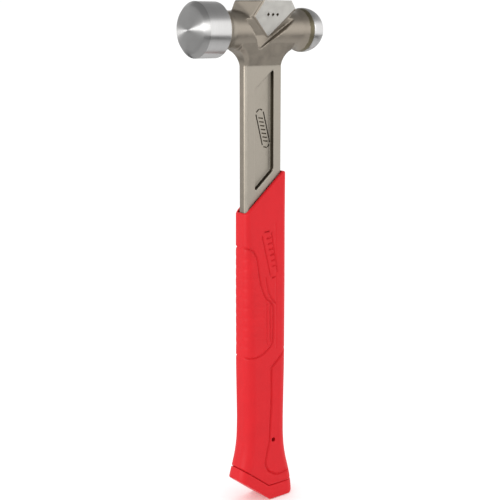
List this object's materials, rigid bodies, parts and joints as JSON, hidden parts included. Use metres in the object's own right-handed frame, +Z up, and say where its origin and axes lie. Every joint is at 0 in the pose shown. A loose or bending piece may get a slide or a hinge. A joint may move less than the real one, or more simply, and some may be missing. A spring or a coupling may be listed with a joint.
{
  "type": "ball peen hammer",
  "caption": "Ball peen hammer: forged steel head and neck in one piece with a bevelled flat face, a ball peen and a moulded grip with a slanted top and an angled butt.",
  "frame": {"origin": "middle of the flat on the butt, in the hammer's plane of symmetry; the handle's own axis is 10.5 mm towards the face", "axes": "+Z up the handle to the head, -X towards the striking face, +X towards the peen, +Y and -Y out of the two broad sides"},
  "size_m": [0.1064, 0.0346, 0.3364],
  "materials": {
    "forged_steel": "satin forged steel with a turned face, barrel and ball",
    "core_plastic": "matte",
    "grip_rubber": "satin moulded",
    "cap_rubber": "satin moulded"
  },
  "bodies": {
    "root": {"hammer_forging": "forged_steel", "grip_core": "core_plastic", "soft_grip": "grip_rubber", "butt_cap": "cap_rubber"}
  },
  "joints": []
}
